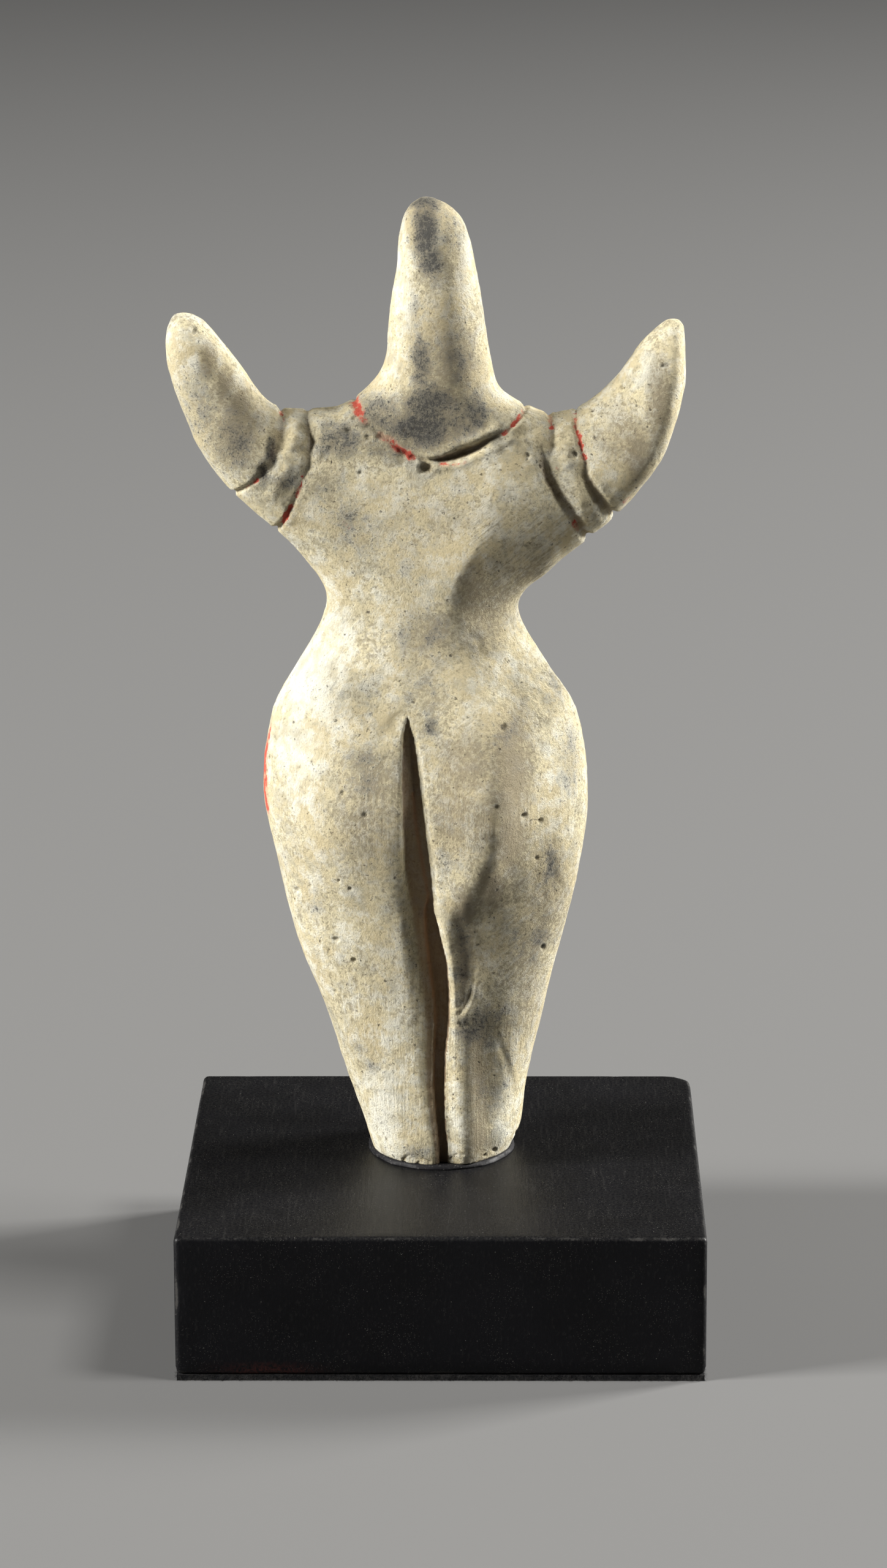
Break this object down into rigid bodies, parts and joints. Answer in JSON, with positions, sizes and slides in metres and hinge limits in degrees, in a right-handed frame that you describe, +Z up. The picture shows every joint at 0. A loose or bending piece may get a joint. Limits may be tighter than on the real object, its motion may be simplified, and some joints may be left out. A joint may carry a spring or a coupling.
{
  "type": "fertility figurine",
  "caption": "Faceless clay figure with raised tapering arms, a plain tapered head, wide hips and a deep cleft between the legs, waxed upright to a square display block.",
  "frame": {"origin": "centre of the felt's underside, which rests on the table", "axes": "+Z up along the figure, +X to the right and +Y away when the side with the long cleft is looked at"},
  "size_m": [0.0822, 0.082, 0.173],
  "materials": {
    "fired_clay": "matt buff clay, low fired, with grey soot clouds and traces of red ochre",
    "black_wax": "glossy black conservation wax",
    "black_painted_wood": "satin black paint",
    "black_felt": "matt black felt"
  },
  "bodies": {
    "root": {"figurine": "fired_clay", "mounting_wax": "black_wax", "block": "black_painted_wood", "felt": "black_felt"}
  },
  "joints": []
}
